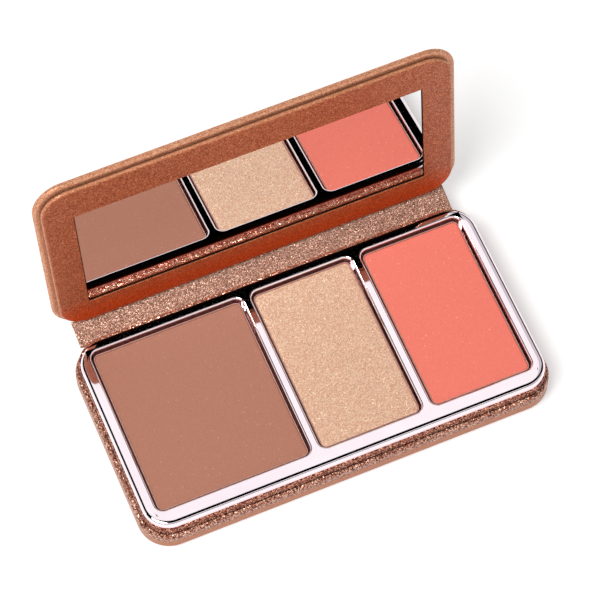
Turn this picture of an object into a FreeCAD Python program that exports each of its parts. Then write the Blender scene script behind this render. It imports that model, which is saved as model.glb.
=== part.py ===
import FreeCAD, Part
import math
import os
import Sketcher

# A three-pan face palette of wrapped board, open as it stands in use.
# Origin: centre of the underside. +X right, +Y towards the hinge, +Z up. Millimetres.

doc = FreeCAD.newDocument("face_palette")
sheet = doc.addObject("Spreadsheet::Sheet", "dims")

DIMENSIONS = [
    # base tier, a thick board in a glitter skin
    ("base_width", 122.5),
    ("base_depth", 63.7),
    ("base_height", 6.5),
    ("base_corner", 9.2),
    ("base_top_round", 1.1),
    ("base_foot_round", 0.9),
    ("base_skin", 0.4),
    ("base_opening_width", 114.4),
    ("base_opening_depth", 54.9),
    ("base_opening_corner", 4.0),
    # inner tier, a ring of board that carries the tray
    ("tier_width", 120.0),
    ("tier_depth", 61.9),
    ("tier_shift", 0.05),
    ("tier_corner", 8.0),
    ("tier_top", 10.1),
    ("tier_round", 0.5),
    ("tier_opening_width", 114.0),
    ("tier_opening_depth", 54.3),
    # moulded tray with three wells
    ("tray_width", 119.5),
    ("tray_depth", 60.25),
    ("tray_shift", -0.505),
    ("tray_corner", 7.7),
    ("tray_top", 12.0),
    ("tray_round", 1.2),
    ("tray_wall", 0.9),
    ("tray_bottom", 6.3),
    ("cup_wall", 0.8),
    ("cup_round", 0.5),
    ("well_floor", 7.1),
    ("well_depth", 52.16),
    ("well_shift", 0.6),
    ("well_corner", 2.4),
    ("well_lip_round", 0.6),
    ("bronzer_width", 45.45),
    ("bronzer_centre", -33.275),
    ("highlighter_width", 30.62),
    ("highlighter_centre", 7.39),
    ("blush_width", 30.57),
    ("blush_centre", 40.715),
    # pans, glue pads and pressed powder
    ("pan_gap", 0.65),
    ("pan_sheet", 0.25),
    ("pan_rim_top", 10.5),
    ("pan_foot_round", 0.7),
    ("pad_height", 0.2),
    ("pad_inset", 4.0),
    ("pad_corner", 2.0),
    ("cake_drop", 0.1),
    ("cake_edge_round", 0.3),
    # closure: bar magnets in the front rail, steel strips in the lid frame
    ("bar_gap", 0.3),
    ("magnet_length", 12.0),
    ("magnet_width", 2.4),
    ("magnet_height", 1.5),
    ("magnet_reach", 38.0),
    ("magnet_front", 28.2),
    ("strike_height", 0.6),
    ("strike_up", 60.0),
    # spine, a thin stiffened strip that folds at both long edges
    ("spine_half_width", 56.8),
    ("spine_bead", 0.4),
    ("spine_length", 7.076),
    ("spine_tilt", 15.16),
    ("spine_board_inset", 0.5),
    ("spine_board_height", 0.36),
    ("spine_axis_back", 31.9),
    ("spine_axis_up", 6.65),
    # lid cover, the outer board of the lid
    ("lid_angle", 83.5),
    ("lid_axis_gap", 0.08),
    ("lid_width", 122.5),
    ("lid_height", 63.7),
    ("lid_thickness", 1.85),
    ("lid_corner", 9.2),
    ("lid_round", 0.9),
    ("lid_skin", 0.3),
    ("lid_opening_width", 100.0),
    ("lid_opening_height", 44.0),
    # mirror frame, the inner board of the lid
    ("frame_width", 119.2),
    ("frame_height", 61.1),
    ("frame_centre", 31.55),
    ("frame_thickness", 1.62),
    ("frame_corner", 8.0),
    ("frame_round", 0.79),
    ("window_width", 101.8),
    ("window_height", 41.3),
    ("window_centre", 30.35),
    ("window_corner", 0.3),
    ("glass_width", 108.0),
    ("glass_height", 47.0),
    ("glass_thickness", 0.8),
    ("glass_lip", 0.55),
    ("glass_corner", 1.0),
    ("glass_gap", 0.2),
    # folds of the skin that run from the base to the spine and on to the lid
    ("fold_thickness", 0.25),
    ("fold_half_width", 55.8),
    ("fold_reach", 2.6),
    ("fold_base_radius", 0.7),
    ("fold_lid_radius", 1.05),
]

for row, (alias, value) in enumerate(DIMENSIONS, start=1):
    sheet.set(f"A{row}", alias)
    sheet.set(f"B{row}", str(value))
    sheet.setAlias(f"B{row}", alias)
doc.recompute()

PANS = ("bronzer", "highlighter", "blush")
SIDES = (("left", -1), ("right", 1))
TOLERANCE = 1e-4


def dim(expression):
    """Number that an expression over the sheet gives."""
    value = sheet.evalExpression(expression)
    return float(getattr(value, "Value", value))


# places of the two fold lines and of the lid
AXIS_X = FreeCAD.Vector(1, 0, 0)
spine_axis = FreeCAD.Vector(0, dim("dims.spine_axis_back"), dim("dims.spine_axis_up"))
spine_place = FreeCAD.Placement(spine_axis, FreeCAD.Rotation(AXIS_X, dim("dims.spine_tilt")))
lid_axis = spine_place.multVec(FreeCAD.Vector(0, dim("dims.spine_length"), 0))
lid_turn = FreeCAD.Rotation(AXIS_X, dim("dims.lid_angle"))
lid_corner_offset = FreeCAD.Vector(0, dim("dims.lid_axis_gap"), -dim("dims.lid_axis_gap"))
lid_place = FreeCAD.Placement(lid_axis + lid_turn.multVec(lid_corner_offset), lid_turn)
flat_place = FreeCAD.Placement()


def new_body(label, place):
    """Empty body with its label and its place in the assembly."""
    body = doc.addObject("PartDesign::Body", label)
    body.Label = label
    body.Placement = place
    return body


def origin_plane(body, role):
    """One of a body's own origin planes, found by its role."""
    return next(feature for feature in body.Origin.OriginFeatures if feature.Role == role)


def new_sketch(body, name, height="0", centre_x="0", centre_y="0", role="XY_Plane"):
    """Sketch on an origin plane, moved to a centre and a height given by expressions."""
    sketch = body.newObject("Sketcher::SketchObject", f"{body.Label}_{name}")
    sketch.AttachmentSupport = [(origin_plane(body, role), "")]
    sketch.MapMode = "FlatFace"
    for axis, expression in (("x", centre_x), ("y", centre_y), ("z", height)):
        sketch.setExpression(f"AttachmentOffset.Base.{axis}", f"({expression}) * 1 mm")
    return sketch


def bind(sketch, constraint, name, expression):
    """Add a dimension to a sketch and bind it to the sheet."""
    index = sketch.addConstraint(constraint)
    sketch.renameConstraint(index, name)
    sketch.setExpression(f"Constraints.{name}", f"({expression}) * 1 mm")


def rounded_rectangle(sketch, width, depth, radius):
    """Closed rounded rectangle centred on the sketch's origin."""
    half_x = dim(width) / 2
    half_y = dim(depth) / 2
    round_off = dim(radius)
    corners = [(1, -1), (1, 1), (-1, 1), (-1, -1)]
    normal = FreeCAD.Vector(0, 0, 1)
    lines = []
    arcs = []
    for turn, (sign_x, sign_y) in enumerate(corners):
        last_x, last_y = corners[turn - 1]
        along_x = turn % 2 == 0
        start = FreeCAD.Vector(last_x * (half_x - round_off * along_x),
                               last_y * (half_y - round_off * (not along_x)), 0)
        end = FreeCAD.Vector(sign_x * (half_x - round_off * along_x),
                             sign_y * (half_y - round_off * (not along_x)), 0)
        lines.append(sketch.addGeometry(Part.LineSegment(start, end), False))
        centre = FreeCAD.Vector(sign_x * (half_x - round_off), sign_y * (half_y - round_off), 0)
        first_angle = (turn - 1) * math.pi / 2
        arc = Part.ArcOfCircle(Part.Circle(centre, normal, round_off), first_angle, first_angle + math.pi / 2)
        arcs.append(sketch.addGeometry(arc, False))
    for turn in range(len(corners)):
        sketch.addConstraint(Sketcher.Constraint("Tangent", lines[turn], 2, arcs[turn], 1))
        sketch.addConstraint(Sketcher.Constraint("Tangent", arcs[turn - 1], 2, lines[turn], 1))
        level = "Horizontal" if turn % 2 == 0 else "Vertical"
        sketch.addConstraint(Sketcher.Constraint(level, lines[turn]))
    for arc in arcs[1:]:
        sketch.addConstraint(Sketcher.Constraint("Equal", arcs[0], arc))
    sketch.addConstraint(Sketcher.Constraint("Symmetric", arcs[0], 3, arcs[2], 3, -1, 1))
    bind(sketch, Sketcher.Constraint("DistanceX", lines[3], 1, lines[1], 1, 2 * half_x), "width", width)
    bind(sketch, Sketcher.Constraint("DistanceY", lines[0], 1, lines[2], 1, 2 * half_y), "depth", depth)
    bind(sketch, Sketcher.Constraint("Radius", arcs[0], round_off), "corner", radius)


def pad(body, sketch, length, downwards=False):
    """Pad of a sketch, upwards unless told otherwise."""
    feature = body.newObject("PartDesign::Pad", f"{sketch.Name}_pad")
    feature.Profile = sketch
    feature.setExpression("Length", f"({length}) * 1 mm")
    feature.Reversed = downwards
    doc.recompute()
    return feature


def pocket(body, sketch, length, upwards=False):
    """Pocket of a sketch, downwards unless told otherwise; it has to take material away."""
    before = body.Shape.Volume
    feature = body.newObject("PartDesign::Pocket", f"{sketch.Name}_pocket")
    feature.Profile = sketch
    feature.setExpression("Length", f"({length}) * 1 mm")
    feature.Reversed = upwards
    doc.recompute()
    if body.Shape.Volume >= before - TOLERANCE:
        raise ValueError(f"{sketch.Name} cuts nothing")
    return feature


def level_edges(body, height, reach=None):
    """Names of a body's edges that lie flat at a height, within a reach of X and Y if given."""
    names = []
    for number, edge in enumerate(body.Tip.Shape.Edges, start=1):
        box = edge.BoundBox
        flat = abs(box.ZMin - height) < TOLERANCE and abs(box.ZMax - height) < TOLERANCE
        inside = reach is None or (box.XMin > reach[0] and box.XMax < reach[1] and box.YMin > reach[2]
                                   and box.YMax < reach[3])
        if flat and inside:
            names.append(f"Edge{number}")
    return names


def fillet(body, edges, radius):
    """Round the named edges of a body's last feature."""
    base = body.Tip
    feature = body.newObject("PartDesign::Fillet", f"{base.Name}_round")
    feature.Base = (base, edges)
    feature.setExpression("Radius", f"({radius}) * 1 mm")
    doc.recompute()
    return feature


def slab(label, place, width, depth, corner, bottom, height, centre_y="0", centre_x="0"):
    """Body that starts as a rounded slab between two heights."""
    body = new_body(label, place)
    sketch = new_sketch(body, "outline", bottom, centre_x, centre_y)
    rounded_rectangle(sketch, width, depth, corner)
    pad(body, sketch, height)
    return body


def cut(label, blank, tool):
    """What is left of a blank once the piece that it covers is taken out of it."""
    feature = doc.addObject("Part::Cut", label)
    feature.Label = label
    feature.Base = blank
    feature.Tool = tool
    doc.recompute()
    return feature


def box(label, place, length, width, height, offset):
    """Bar with its three sizes bound to the sheet, centred on an offset in X and Y."""
    feature = doc.addObject("Part::Box", label)
    feature.Label = label
    for name, expression in (("Length", length), ("Width", width), ("Height", height)):
        feature.setExpression(name, f"({expression}) * 1 mm")
    corner = offset - FreeCAD.Vector(dim(length) / 2, dim(width) / 2, 0)
    feature.Placement = place * FreeCAD.Placement(corner, FreeCAD.Rotation())
    doc.recompute()
    return feature


def bar_pocket(body, name, centre_x, centre_y, top, depth):
    """Seat for one closure bar, cut down from a height."""
    sketch = new_sketch(body, name, top, centre_x, centre_y)
    rounded_rectangle(sketch, "dims.magnet_length", "dims.magnet_width", "dims.bar_gap")
    pocket(body, sketch, depth)


# base tier: the board, and the skin that is turned in over its top edge
def make_base():
    core = slab("base_core", flat_place, "dims.base_width - 2 * dims.base_skin",
                "dims.base_depth - 2 * dims.base_skin", "dims.base_corner - dims.base_skin",
                "dims.base_skin", "dims.base_height - 2 * dims.base_skin")
    fillet(core, level_edges(core, dim("dims.base_height - dims.base_skin")),
           "dims.base_top_round - dims.base_skin")
    fillet(core, level_edges(core, dim("dims.base_skin")), "dims.base_foot_round - dims.base_skin")
    blank = slab("base_wrap_blank", flat_place, "dims.base_width", "dims.base_depth", "dims.base_corner",
                 "0", "dims.base_height")
    fillet(blank, level_edges(blank, dim("dims.base_height")), "dims.base_top_round")
    fillet(blank, level_edges(blank, 0), "dims.base_foot_round")
    opening = new_sketch(blank, "opening", "dims.base_height", "0", "dims.well_shift")
    rounded_rectangle(opening, "dims.base_opening_width", "dims.base_opening_depth",
                      "dims.base_opening_corner")
    pocket(blank, opening, "dims.base_skin")
    return [core, cut("base_wrap", blank, core)]


# inner tier: a ring of board, its skin, and the magnets let into its front rail
def make_tier():
    board = slab("tier_board", flat_place, "dims.tier_width - 2 * dims.base_skin",
                 "dims.tier_depth - 2 * dims.base_skin", "dims.tier_corner - dims.base_skin",
                 "dims.base_height", "dims.tier_top - dims.base_skin - dims.base_height", "dims.tier_shift")
    blank = slab("tier_wrap_blank", flat_place, "dims.tier_width", "dims.tier_depth", "dims.tier_corner",
                 "dims.base_height", "dims.tier_top - dims.base_height", "dims.tier_shift")
    fillet(blank, level_edges(blank, dim("dims.tier_top")), "dims.tier_round")
    for ring in (board, blank):
        opening = new_sketch(ring, "opening", "dims.tier_top", "0", "dims.well_shift")
        rounded_rectangle(opening, "dims.tier_opening_width", "dims.tier_opening_depth",
                          "dims.base_opening_corner")
        pocket(ring, opening, "dims.tier_top - dims.base_height")
    wrap = cut("tier_wrap", blank, board)
    seat_top = "dims.tier_top - dims.base_skin"
    magnets = []
    for side, sign in SIDES:
        reach = f"{sign} * dims.magnet_reach"
        for ring in (board, blank):
            bar_pocket(ring, f"{side}_seat", reach, "-dims.magnet_front", seat_top, "dims.magnet_height")
        foot = FreeCAD.Vector(dim(reach), -dim("dims.magnet_front"), dim(f"{seat_top} - dims.magnet_height"))
        magnets.append(box(f"{side}_magnet", flat_place, "dims.magnet_length - dims.bar_gap",
                           "dims.magnet_width - dims.bar_gap", "dims.magnet_height", foot))
    return [board, wrap] + magnets


# tray: one thin moulding with a rolled rim, a hollow underside and three cups
def make_tray():
    tray = slab("tray_insert", flat_place, "dims.tray_width", "dims.tray_depth", "dims.tray_corner",
                "dims.tier_top", "dims.tray_top - dims.tier_top", "dims.tray_shift")
    hollow = new_sketch(tray, "hollow", "dims.tier_top", "0", "dims.tray_shift")
    rounded_rectangle(hollow, "dims.tray_width - 2 * dims.tray_wall", "dims.tray_depth - 2 * dims.tray_wall",
                      "dims.tray_corner - dims.tray_wall")
    pocket(tray, hollow, "dims.tray_top - dims.tier_top - dims.tray_wall", upwards=True)
    for name in PANS:
        cup = new_sketch(tray, f"{name}_cup", "dims.tray_bottom", f"dims.{name}_centre", "dims.well_shift")
        rounded_rectangle(cup, f"dims.{name}_width + 2 * dims.cup_wall",
                          "dims.well_depth + 2 * dims.cup_wall", "dims.well_corner + dims.cup_wall")
        pad(tray, cup, "dims.tray_top - dims.tray_wall / 2 - dims.tray_bottom")
    fillet(tray, level_edges(tray, dim("dims.tray_bottom")), "dims.cup_round")
    for name in PANS:
        well = new_sketch(tray, f"{name}_well", "dims.tray_top", f"dims.{name}_centre", "dims.well_shift")
        rounded_rectangle(well, f"dims.{name}_width", "dims.well_depth", "dims.well_corner")
        pocket(tray, well, "dims.tray_top - dims.well_floor")
    margin = dim("dims.tray_wall")
    half_x = dim("dims.bronzer_width / 2 - dims.bronzer_centre") + margin
    half_y = dim("dims.well_depth / 2") + margin
    shift = dim("dims.well_shift")
    lips = level_edges(tray, dim("dims.tray_top"), (-half_x, half_x, shift - half_y, shift + half_y))
    fillet(tray, lips, "dims.well_lip_round")
    lips = set(level_edges(tray, dim("dims.tray_top"), (-half_x, half_x, shift - half_y, shift + half_y)))
    rim = [name for name in level_edges(tray, dim("dims.tray_top")) if name not in lips]
    fillet(tray, rim, "dims.tray_round")
    tape = slab("tray_tape", flat_place, "dims.tier_opening_width - dims.pad_inset / 2",
                "dims.tier_opening_depth - dims.pad_inset / 2", "dims.pad_corner",
                "dims.base_height - dims.base_skin", "dims.tray_bottom - dims.base_height + dims.base_skin",
                "dims.well_shift")
    return [tray, tape]


# one pan with the pad that holds it and the powder pressed into it
def make_pan(name):
    centre = f"dims.{name}_centre"
    pan_width = f"dims.{name}_width - 2 * dims.pan_gap"
    pan_depth = "dims.well_depth - 2 * dims.pan_gap"
    pan_corner = "dims.well_corner - dims.pan_gap"
    pan_foot = "dims.well_floor + dims.pad_height"
    glue = slab(f"{name}_pad", flat_place, f"{pan_width} - 2 * dims.pad_inset",
                f"{pan_depth} - 2 * dims.pad_inset", "dims.pad_corner", "dims.well_floor", "dims.pad_height",
                "dims.well_shift", centre)
    pan = slab(f"{name}_pan", flat_place, pan_width, pan_depth, pan_corner, pan_foot,
               f"dims.pan_rim_top - ({pan_foot})", "dims.well_shift", centre)
    fillet(pan, level_edges(pan, dim(pan_foot)), "dims.pan_foot_round")
    inside = new_sketch(pan, "inside", "dims.pan_rim_top", centre, "dims.well_shift")
    rounded_rectangle(inside, f"{pan_width} - 2 * dims.pan_sheet", f"{pan_depth} - 2 * dims.pan_sheet",
                      f"{pan_corner} - dims.pan_sheet")
    pocket(pan, inside, f"dims.pan_rim_top - ({pan_foot}) - dims.pan_sheet")
    cake_foot = f"{pan_foot} + dims.pan_sheet"
    cake = slab(f"{name}_cake", flat_place, f"{pan_width} - 2 * dims.pan_sheet",
                f"{pan_depth} - 2 * dims.pan_sheet", f"{pan_corner} - dims.pan_sheet", cake_foot,
                f"dims.pan_rim_top - dims.cake_drop - ({cake_foot})", "dims.well_shift", centre)
    fillet(cake, level_edges(cake, dim("dims.pan_rim_top - dims.cake_drop")), "dims.cake_edge_round")
    return [glue, pan, cake]


def half_strip(label, side):
    """Half of the spine's thickness: a flat strip whose long edges are round about the fold lines."""
    body = new_body(label, spine_place)
    length = dim("dims.spine_length")
    bead = dim("dims.spine_bead")
    normal = FreeCAD.Vector(0, 0, 1)
    start = FreeCAD.Vector(0, 0, 0)
    end = FreeCAD.Vector(length, 0, 0)
    rise = FreeCAD.Vector(0, side * bead, 0)
    run = FreeCAD.Vector(bead, 0, 0)
    first_angle = 0 if side > 0 else -math.pi / 2
    last_angle = math.pi / 2 if side > 0 else math.pi
    sketch = new_sketch(body, "section", "-dims.spine_half_width", role="YZ_Plane")
    flat = sketch.addGeometry(Part.LineSegment(start - run, end + run), False)
    far = sketch.addGeometry(
        Part.ArcOfCircle(Part.Circle(end, normal, bead), first_angle, first_angle + math.pi / 2), False)
    face = sketch.addGeometry(Part.LineSegment(end + rise, start + rise), False)
    near = sketch.addGeometry(
        Part.ArcOfCircle(Part.Circle(start, normal, bead), last_angle, last_angle + math.pi / 2), False)
    far_low, far_high = (1, 2) if side > 0 else (2, 1)
    near_high, near_low = (1, 2) if side > 0 else (2, 1)
    for constraint in (
        Sketcher.Constraint("Coincident", flat, 2, far, far_low),
        Sketcher.Constraint("Tangent", far, far_high, face, 1),
        Sketcher.Constraint("Tangent", face, 2, near, near_high),
        Sketcher.Constraint("Coincident", near, near_low, flat, 1),
        Sketcher.Constraint("Coincident", near, 3, -1, 1),
        Sketcher.Constraint("PointOnObject", far, 3, -1),
        Sketcher.Constraint("PointOnObject", flat, 1, -1),
        Sketcher.Constraint("PointOnObject", flat, 2, -1),
    ):
        sketch.addConstraint(constraint)
    bind(sketch, Sketcher.Constraint("DistanceX", near, 3, far, 3, length), "span", "dims.spine_length")
    bind(sketch, Sketcher.Constraint("Radius", near, bead), "bead", "dims.spine_bead")
    pad(body, sketch, "2 * dims.spine_half_width")
    seat = new_sketch(body, "seat", "0", "0", "dims.spine_length / 2")
    rounded_rectangle(seat, "2 * dims.spine_half_width - 2 * dims.spine_board_inset",
                      "dims.spine_length - 2 * dims.spine_board_inset", "dims.spine_bead")
    pocket(body, seat, "dims.spine_board_height / 2", upwards=side > 0)
    return body


# spine: a strip of board between the outer skin and the lining
def make_spine():
    board = slab("spine_board", spine_place, "2 * dims.spine_half_width - 2 * dims.spine_board_inset",
                 "dims.spine_length - 2 * dims.spine_board_inset", "dims.spine_bead",
                 "-dims.spine_board_height / 2", "dims.spine_board_height", "dims.spine_length / 2")
    return [board, half_strip("spine_lining", 1), half_strip("spine_cover", -1)]


# lid cover: a board with half-round edges in its skin, open behind the mirror frame
def make_lid_cover():
    centre = "dims.lid_height / 2"
    board = slab("lid_board", lid_place, "dims.lid_width - 2 * dims.lid_skin",
                 "dims.lid_height - 2 * dims.lid_skin", "dims.lid_corner - dims.lid_skin",
                 "dims.lid_skin - dims.lid_thickness", "dims.lid_thickness - 2 * dims.lid_skin", centre)
    board_edges = (level_edges(board, -dim("dims.lid_skin"))
                   + level_edges(board, dim("dims.lid_skin - dims.lid_thickness")))
    fillet(board, board_edges, "dims.lid_round - dims.lid_skin")
    blank = slab("lid_wrap_blank", lid_place, "dims.lid_width", "dims.lid_height", "dims.lid_corner",
                 "-dims.lid_thickness", "dims.lid_thickness", centre)
    fillet(blank, level_edges(blank, 0) + level_edges(blank, -dim("dims.lid_thickness")), "dims.lid_round")
    opening = new_sketch(blank, "opening", "0", "0", centre)
    rounded_rectangle(opening, "dims.lid_opening_width", "dims.lid_opening_height", "dims.pad_corner")
    pocket(blank, opening, "dims.lid_skin")
    tape = slab("lid_tape", lid_place, "dims.lid_opening_width - dims.bar_gap",
                "dims.lid_opening_height - dims.bar_gap", "dims.pad_corner", "-dims.lid_skin",
                "dims.lid_skin", centre)
    return [board, cut("lid_wrap", blank, board), tape]


# mirror frame: a board with a window, its skin, the mirror and the strips that the magnets hold
def make_mirror_frame():
    centre = "dims.frame_centre"
    board = slab("frame_board", lid_place, "dims.frame_width - 2 * dims.lid_skin",
                 "dims.frame_height - 2 * dims.lid_skin", "dims.frame_corner - dims.lid_skin",
                 "dims.lid_skin", "dims.frame_thickness - 2 * dims.lid_skin", centre)
    board_edges = (level_edges(board, dim("dims.lid_skin"))
                   + level_edges(board, dim("dims.frame_thickness - dims.lid_skin")))
    fillet(board, board_edges, "dims.frame_round - dims.lid_skin")
    blank = slab("frame_wrap_blank", lid_place, "dims.frame_width", "dims.frame_height",
                 "dims.frame_corner", "0", "dims.frame_thickness", centre)
    fillet(blank, level_edges(blank, 0) + level_edges(blank, dim("dims.frame_thickness")), "dims.frame_round")
    for ring in (board, blank):
        recess = new_sketch(ring, "recess", "0", "0", "dims.window_centre")
        rounded_rectangle(recess, "dims.glass_width + dims.glass_gap", "dims.glass_height + dims.glass_gap",
                          "dims.glass_corner")
        pocket(ring, recess, "dims.frame_thickness - dims.glass_lip", upwards=True)
    for ring, turn_in in ((board, "2 * dims.lid_skin"), (blank, "0 * dims.lid_skin")):
        window = new_sketch(ring, "window", "dims.frame_thickness", "0", "dims.window_centre")
        rounded_rectangle(window, f"dims.window_width + {turn_in}", f"dims.window_height + {turn_in}",
                          "dims.window_corner")
        pocket(ring, window, "dims.frame_thickness")
    wrap = cut("frame_wrap", blank, board)
    glass_back = "dims.frame_thickness - dims.glass_lip - dims.glass_thickness"
    glass = slab("mirror_glass", lid_place, "dims.glass_width", "dims.glass_height", "dims.glass_corner",
                 glass_back, "dims.glass_thickness", "dims.window_centre")
    tape = slab("mirror_tape", lid_place, "dims.glass_width - dims.glass_gap",
                "dims.glass_height - dims.glass_gap", "dims.glass_corner", "0", glass_back,
                "dims.window_centre")
    seat_top = "dims.frame_thickness - dims.lid_skin"
    strikes = []
    for side, sign in SIDES:
        reach = f"{sign} * dims.magnet_reach"
        for ring in (board, blank):
            bar_pocket(ring, f"{side}_seat", reach, "dims.strike_up", seat_top, "dims.strike_height")
        foot = FreeCAD.Vector(dim(reach), dim("dims.strike_up"), dim(f"{seat_top} - dims.strike_height"))
        strikes.append(box(f"{side}_strike_plate", lid_place, "dims.magnet_length - dims.bar_gap",
                           "dims.magnet_width - dims.bar_gap", "dims.strike_height", foot))
    return [board, wrap, glass, tape] + strikes


def folded_strip(label, start, corner, end, radius):
    """Strip of skin that runs straight, turns left once about X and runs straight again."""
    thickness = dim("dims.fold_thickness")
    half_width = dim("dims.fold_half_width")
    first = (corner - start).normalize()
    second = (end - corner).normalize()
    turn = first.getAngle(second)
    left = AXIS_X.cross(first)
    side = 1 if left.dot(second) > 0 else -1
    setback = radius * math.tan(turn / 2)
    turn_start = corner - first * setback
    turn_centre = turn_start + left * side * radius
    bisector = (corner - turn_centre).normalize()
    rails = []
    for offset in (-thickness / 2, thickness / 2):
        shift_first = left * offset
        shift_second = AXIS_X.cross(second) * offset
        bend = radius - side * offset
        points = [start + shift_first, turn_start + shift_first, turn_centre + bisector * bend,
                  corner + second * setback + shift_second, end + shift_second]
        rails.append(points)
    low, high = rails
    edges = [Part.LineSegment(low[0], low[1]).toShape(), Part.Arc(low[1], low[2], low[3]).toShape(),
             Part.LineSegment(low[3], low[4]).toShape(), Part.LineSegment(low[4], high[4]).toShape(),
             Part.LineSegment(high[4], high[3]).toShape(), Part.Arc(high[3], high[2], high[1]).toShape(),
             Part.LineSegment(high[1], high[0]).toShape(), Part.LineSegment(high[0], low[0]).toShape()]
    section = Part.Face(Part.Wire(edges))
    section.translate(AXIS_X * -half_width)
    feature = doc.addObject("Part::Feature", label)
    feature.Label = label
    feature.Shape = section.extrude(AXIS_X * 2 * half_width)
    feature.Placement = flat_place
    return feature


def crossing(point, direction, other, other_direction):
    """Where two lines of the YZ plane cross."""
    normal = AXIS_X.cross(other_direction)
    return point + direction * ((other - point).dot(normal) / direction.dot(normal))


# folds: the skin between base and spine, and between spine and lid cover
def make_folds():
    half = dim("dims.fold_thickness") / 2
    reach = dim("dims.fold_reach")
    up = FreeCAD.Vector(0, 0, 1)
    spine_run = spine_place.Rotation.multVec(FreeCAD.Vector(0, 1, 0))
    spine_normal = spine_place.Rotation.multVec(FreeCAD.Vector(0, 0, 1))
    under_spine = spine_axis - spine_normal * (dim("dims.spine_bead") + half)
    base_back = FreeCAD.Vector(0, dim("dims.base_depth") / 2 + half, dim("dims.base_height"))
    base_corner = crossing(base_back, up, under_spine, spine_run)
    base_fold = folded_strip("base_fold", base_corner - up * reach, base_corner,
                             base_corner + spine_run * reach, dim("dims.fold_base_radius"))
    lid_run = lid_turn.multVec(FreeCAD.Vector(0, 1, 0))
    lid_back = lid_place.multVec(FreeCAD.Vector(0, 0, -dim("dims.lid_thickness") - half))
    lid_corner = crossing(lid_back, lid_run, under_spine, spine_run)
    lid_fold = folded_strip("lid_fold", lid_corner - spine_run * 2 * reach, lid_corner,
                            lid_corner + lid_run * 2 * reach, dim("dims.fold_lid_radius"))
    return [base_fold, lid_fold]


def check(nodes):
    """Stop if any object of the document failed or any piece is not one sound solid."""
    doc.recompute()
    for item in doc.Objects:
        if {"Invalid", "Error"} & set(item.State):
            raise ValueError(f"{item.Name} failed: {item.State}")
    for node in nodes:
        shape = node.Shape
        if shape.isNull() or not shape.isValid() or len(shape.Solids) != 1:
            raise ValueError(f"{node.Label} is not one sound solid")


pieces = make_base() + make_tier() + make_tray()
for pan_name in PANS:
    pieces += make_pan(pan_name)
pieces += make_spine() + make_lid_cover() + make_mirror_frame() + make_folds()
check(pieces)
os.makedirs("parts", exist_ok=True)
for piece in pieces:
    piece.Shape.exportStep(f"parts/{piece.Label}.step")
print(f"{len(pieces)} pieces, lid axis {lid_axis}, lid corner {lid_place.Base}")
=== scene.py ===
"""Looks of a three-pan face palette: glitter skin, plated tray, pressed powders and a mirror lid.

Surfaces are worked out in millimetres and put into their meshes in metres. Finishes read the piece's own
coordinates, in metres.
"""
import logging
import math
from abc import ABC, abstractmethod
from dataclasses import dataclass, field
from enum import Enum
from typing import List, Optional, Sequence, Tuple, Union

import bpy
import numpy as np
from mathutils import Matrix, Vector


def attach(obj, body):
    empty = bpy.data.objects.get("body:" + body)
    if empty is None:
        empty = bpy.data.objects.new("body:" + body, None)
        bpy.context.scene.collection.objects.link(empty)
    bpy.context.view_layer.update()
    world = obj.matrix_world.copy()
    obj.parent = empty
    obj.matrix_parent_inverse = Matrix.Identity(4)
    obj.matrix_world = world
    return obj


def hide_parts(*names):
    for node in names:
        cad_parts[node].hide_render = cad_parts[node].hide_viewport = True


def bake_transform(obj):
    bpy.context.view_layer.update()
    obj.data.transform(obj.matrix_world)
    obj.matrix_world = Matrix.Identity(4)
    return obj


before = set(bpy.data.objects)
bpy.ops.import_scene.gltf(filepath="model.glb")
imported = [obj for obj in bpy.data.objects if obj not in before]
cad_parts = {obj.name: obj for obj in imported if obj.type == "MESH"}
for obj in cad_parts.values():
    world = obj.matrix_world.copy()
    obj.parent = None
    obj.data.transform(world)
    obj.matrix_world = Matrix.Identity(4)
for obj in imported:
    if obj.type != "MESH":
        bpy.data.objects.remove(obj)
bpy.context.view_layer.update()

MM = 0.001

Pair = Tuple[float, float]
Triple = Tuple[float, float, float]
Colour = Tuple[float, float, float]
Tones = Tuple[Colour, Colour]
Socket = bpy.types.NodeSocket

log = logging.getLogger("palette")


class Body(Enum):
    """Rigid bodies of the palette."""

    BASE = "base"
    SPINE = "spine"
    LID = "lid"


class Slot(Enum):
    """Names of the record's material slots."""

    SKIN = "glitter_skin"
    PLATING = "rose_plating"
    BRONZER = "bronzer_powder"
    HIGHLIGHTER = "highlighter_powder"
    BLUSH = "blush_powder"


class Axis(Enum):
    """The piece's own coordinates: across, back and up."""

    ACROSS = "X"
    BACK = "Y"
    UP = "Z"


class Rule(Enum):
    """Ways to work out one value from two."""

    LARGER = "MAXIMUM"
    SMALLER = "MINIMUM"
    MINUS = "SUBTRACT"
    TIMES = "MULTIPLY"


def linear(red: int, green: int, blue: int) -> Colour:
    """Turn a display colour into the linear colour that shaders take.

    The curve is the standard one for displays: a short straight foot and a power above it.

    Args:
        red: Red from 0 to 255.
        green: Green from 0 to 255.
        blue: Blue from 0 to 255.

    Returns:
        The linear colour.
    """
    display = np.array((red, green, blue)) / 255.0
    foot = display / 12.92
    power = ((display + 0.055) / 1.055) ** 2.4
    return tuple(np.where(display <= 0.04045, foot, power).tolist())


WHITE = (1.0, 1.0, 1.0, 1.0)
BLACK = (0.0, 0.0, 0.0, 1.0)
NOISE_SPAN = (0.3, 0.7)
BOARD_TONES = (linear(120, 112, 104), linear(160, 152, 142))
FILM_TONES = (linear(205, 203, 196), linear(228, 226, 220))
STEEL_TONES = (linear(140, 140, 142), linear(170, 170, 172))


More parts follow.
